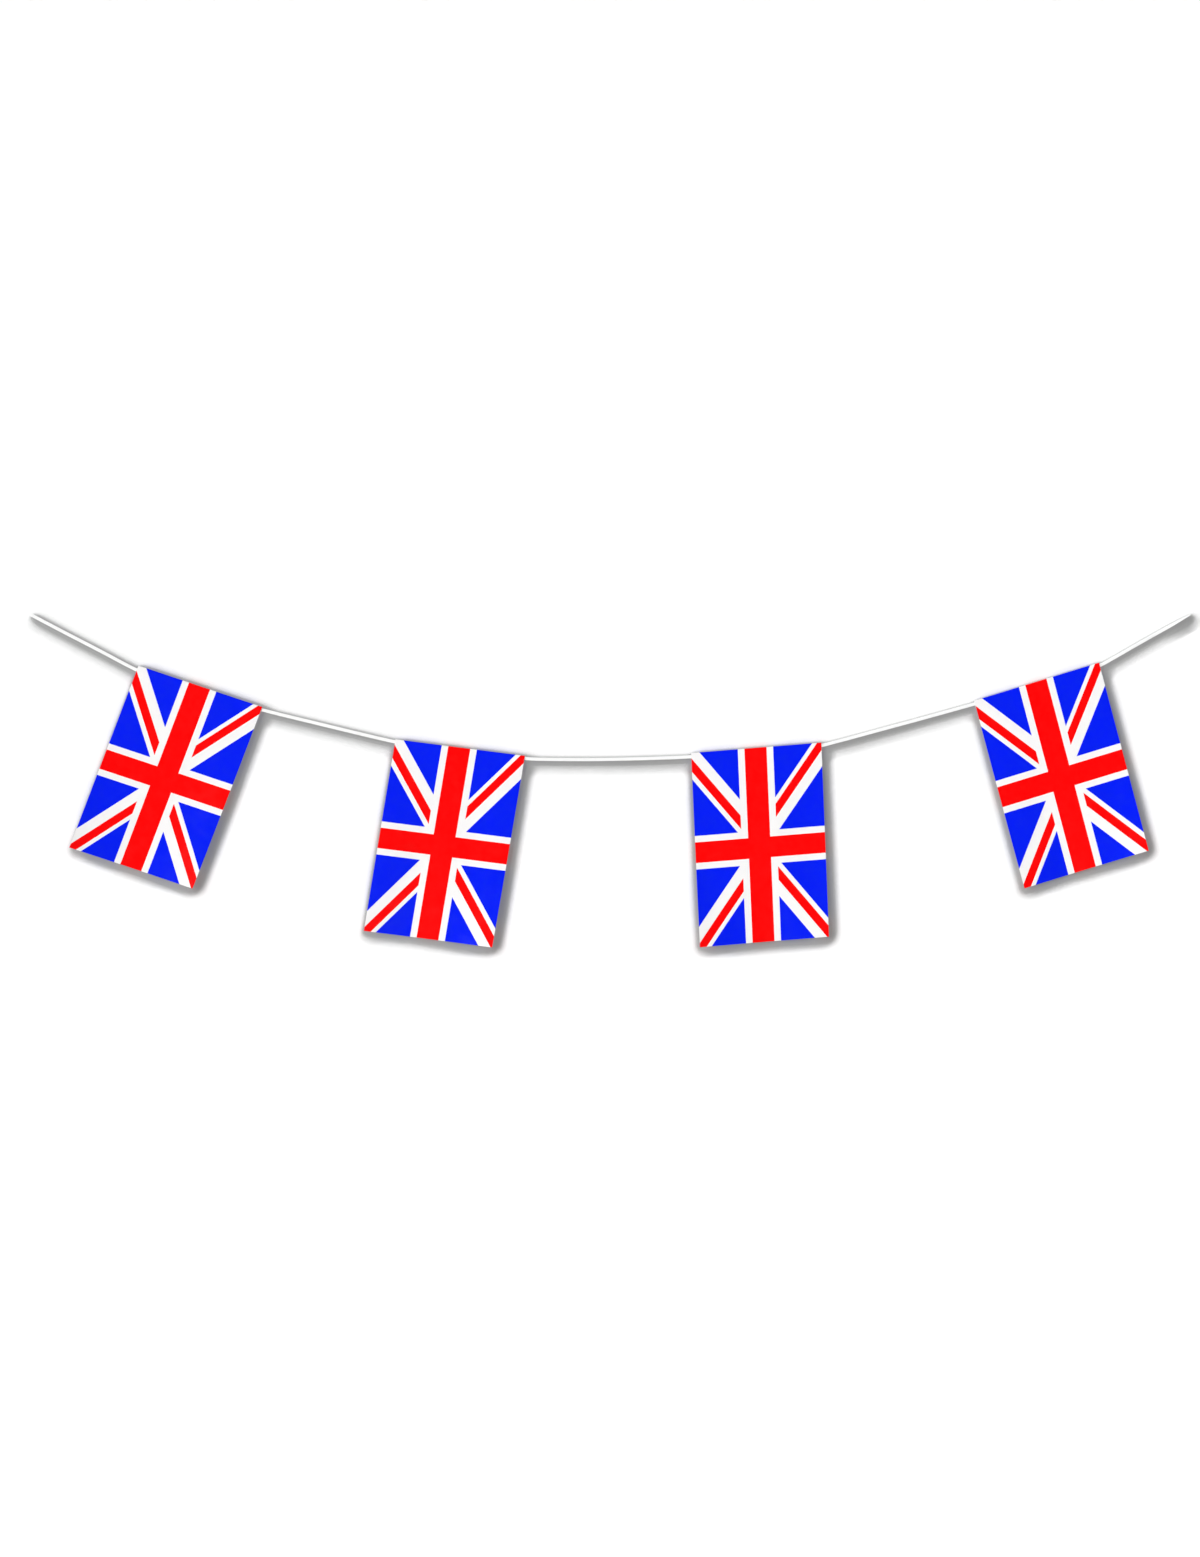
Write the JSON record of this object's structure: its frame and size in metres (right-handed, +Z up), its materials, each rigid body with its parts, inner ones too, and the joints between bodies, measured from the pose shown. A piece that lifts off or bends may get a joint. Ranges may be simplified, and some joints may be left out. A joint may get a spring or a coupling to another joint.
{
  "type": "plastic flag bunting",
  "caption": "Short run of oblong union-flag bunting: printed plastic film flags, each folded and welded round one white flat tape that sags between its two ends.",
  "frame": {"origin": "middle of the tape's left end, where the bunting is tied up", "axes": "+X to the right along the bunting, +Y away from the viewer, +Z up"},
  "size_m": [1.7804, 0.0162, 0.5123],
  "materials": {
    "tape": "white woven polyester tape, matt",
    "printed_film": "polyethylene film printed with the union flag: red and white crosses on this blue, low gloss"
  },
  "bodies": {
    "root": {"tape": "tape", "flag_1": "printed_film", "flag_2": "printed_film", "flag_3": "printed_film", "flag_4": "printed_film"}
  },
  "joints": []
}
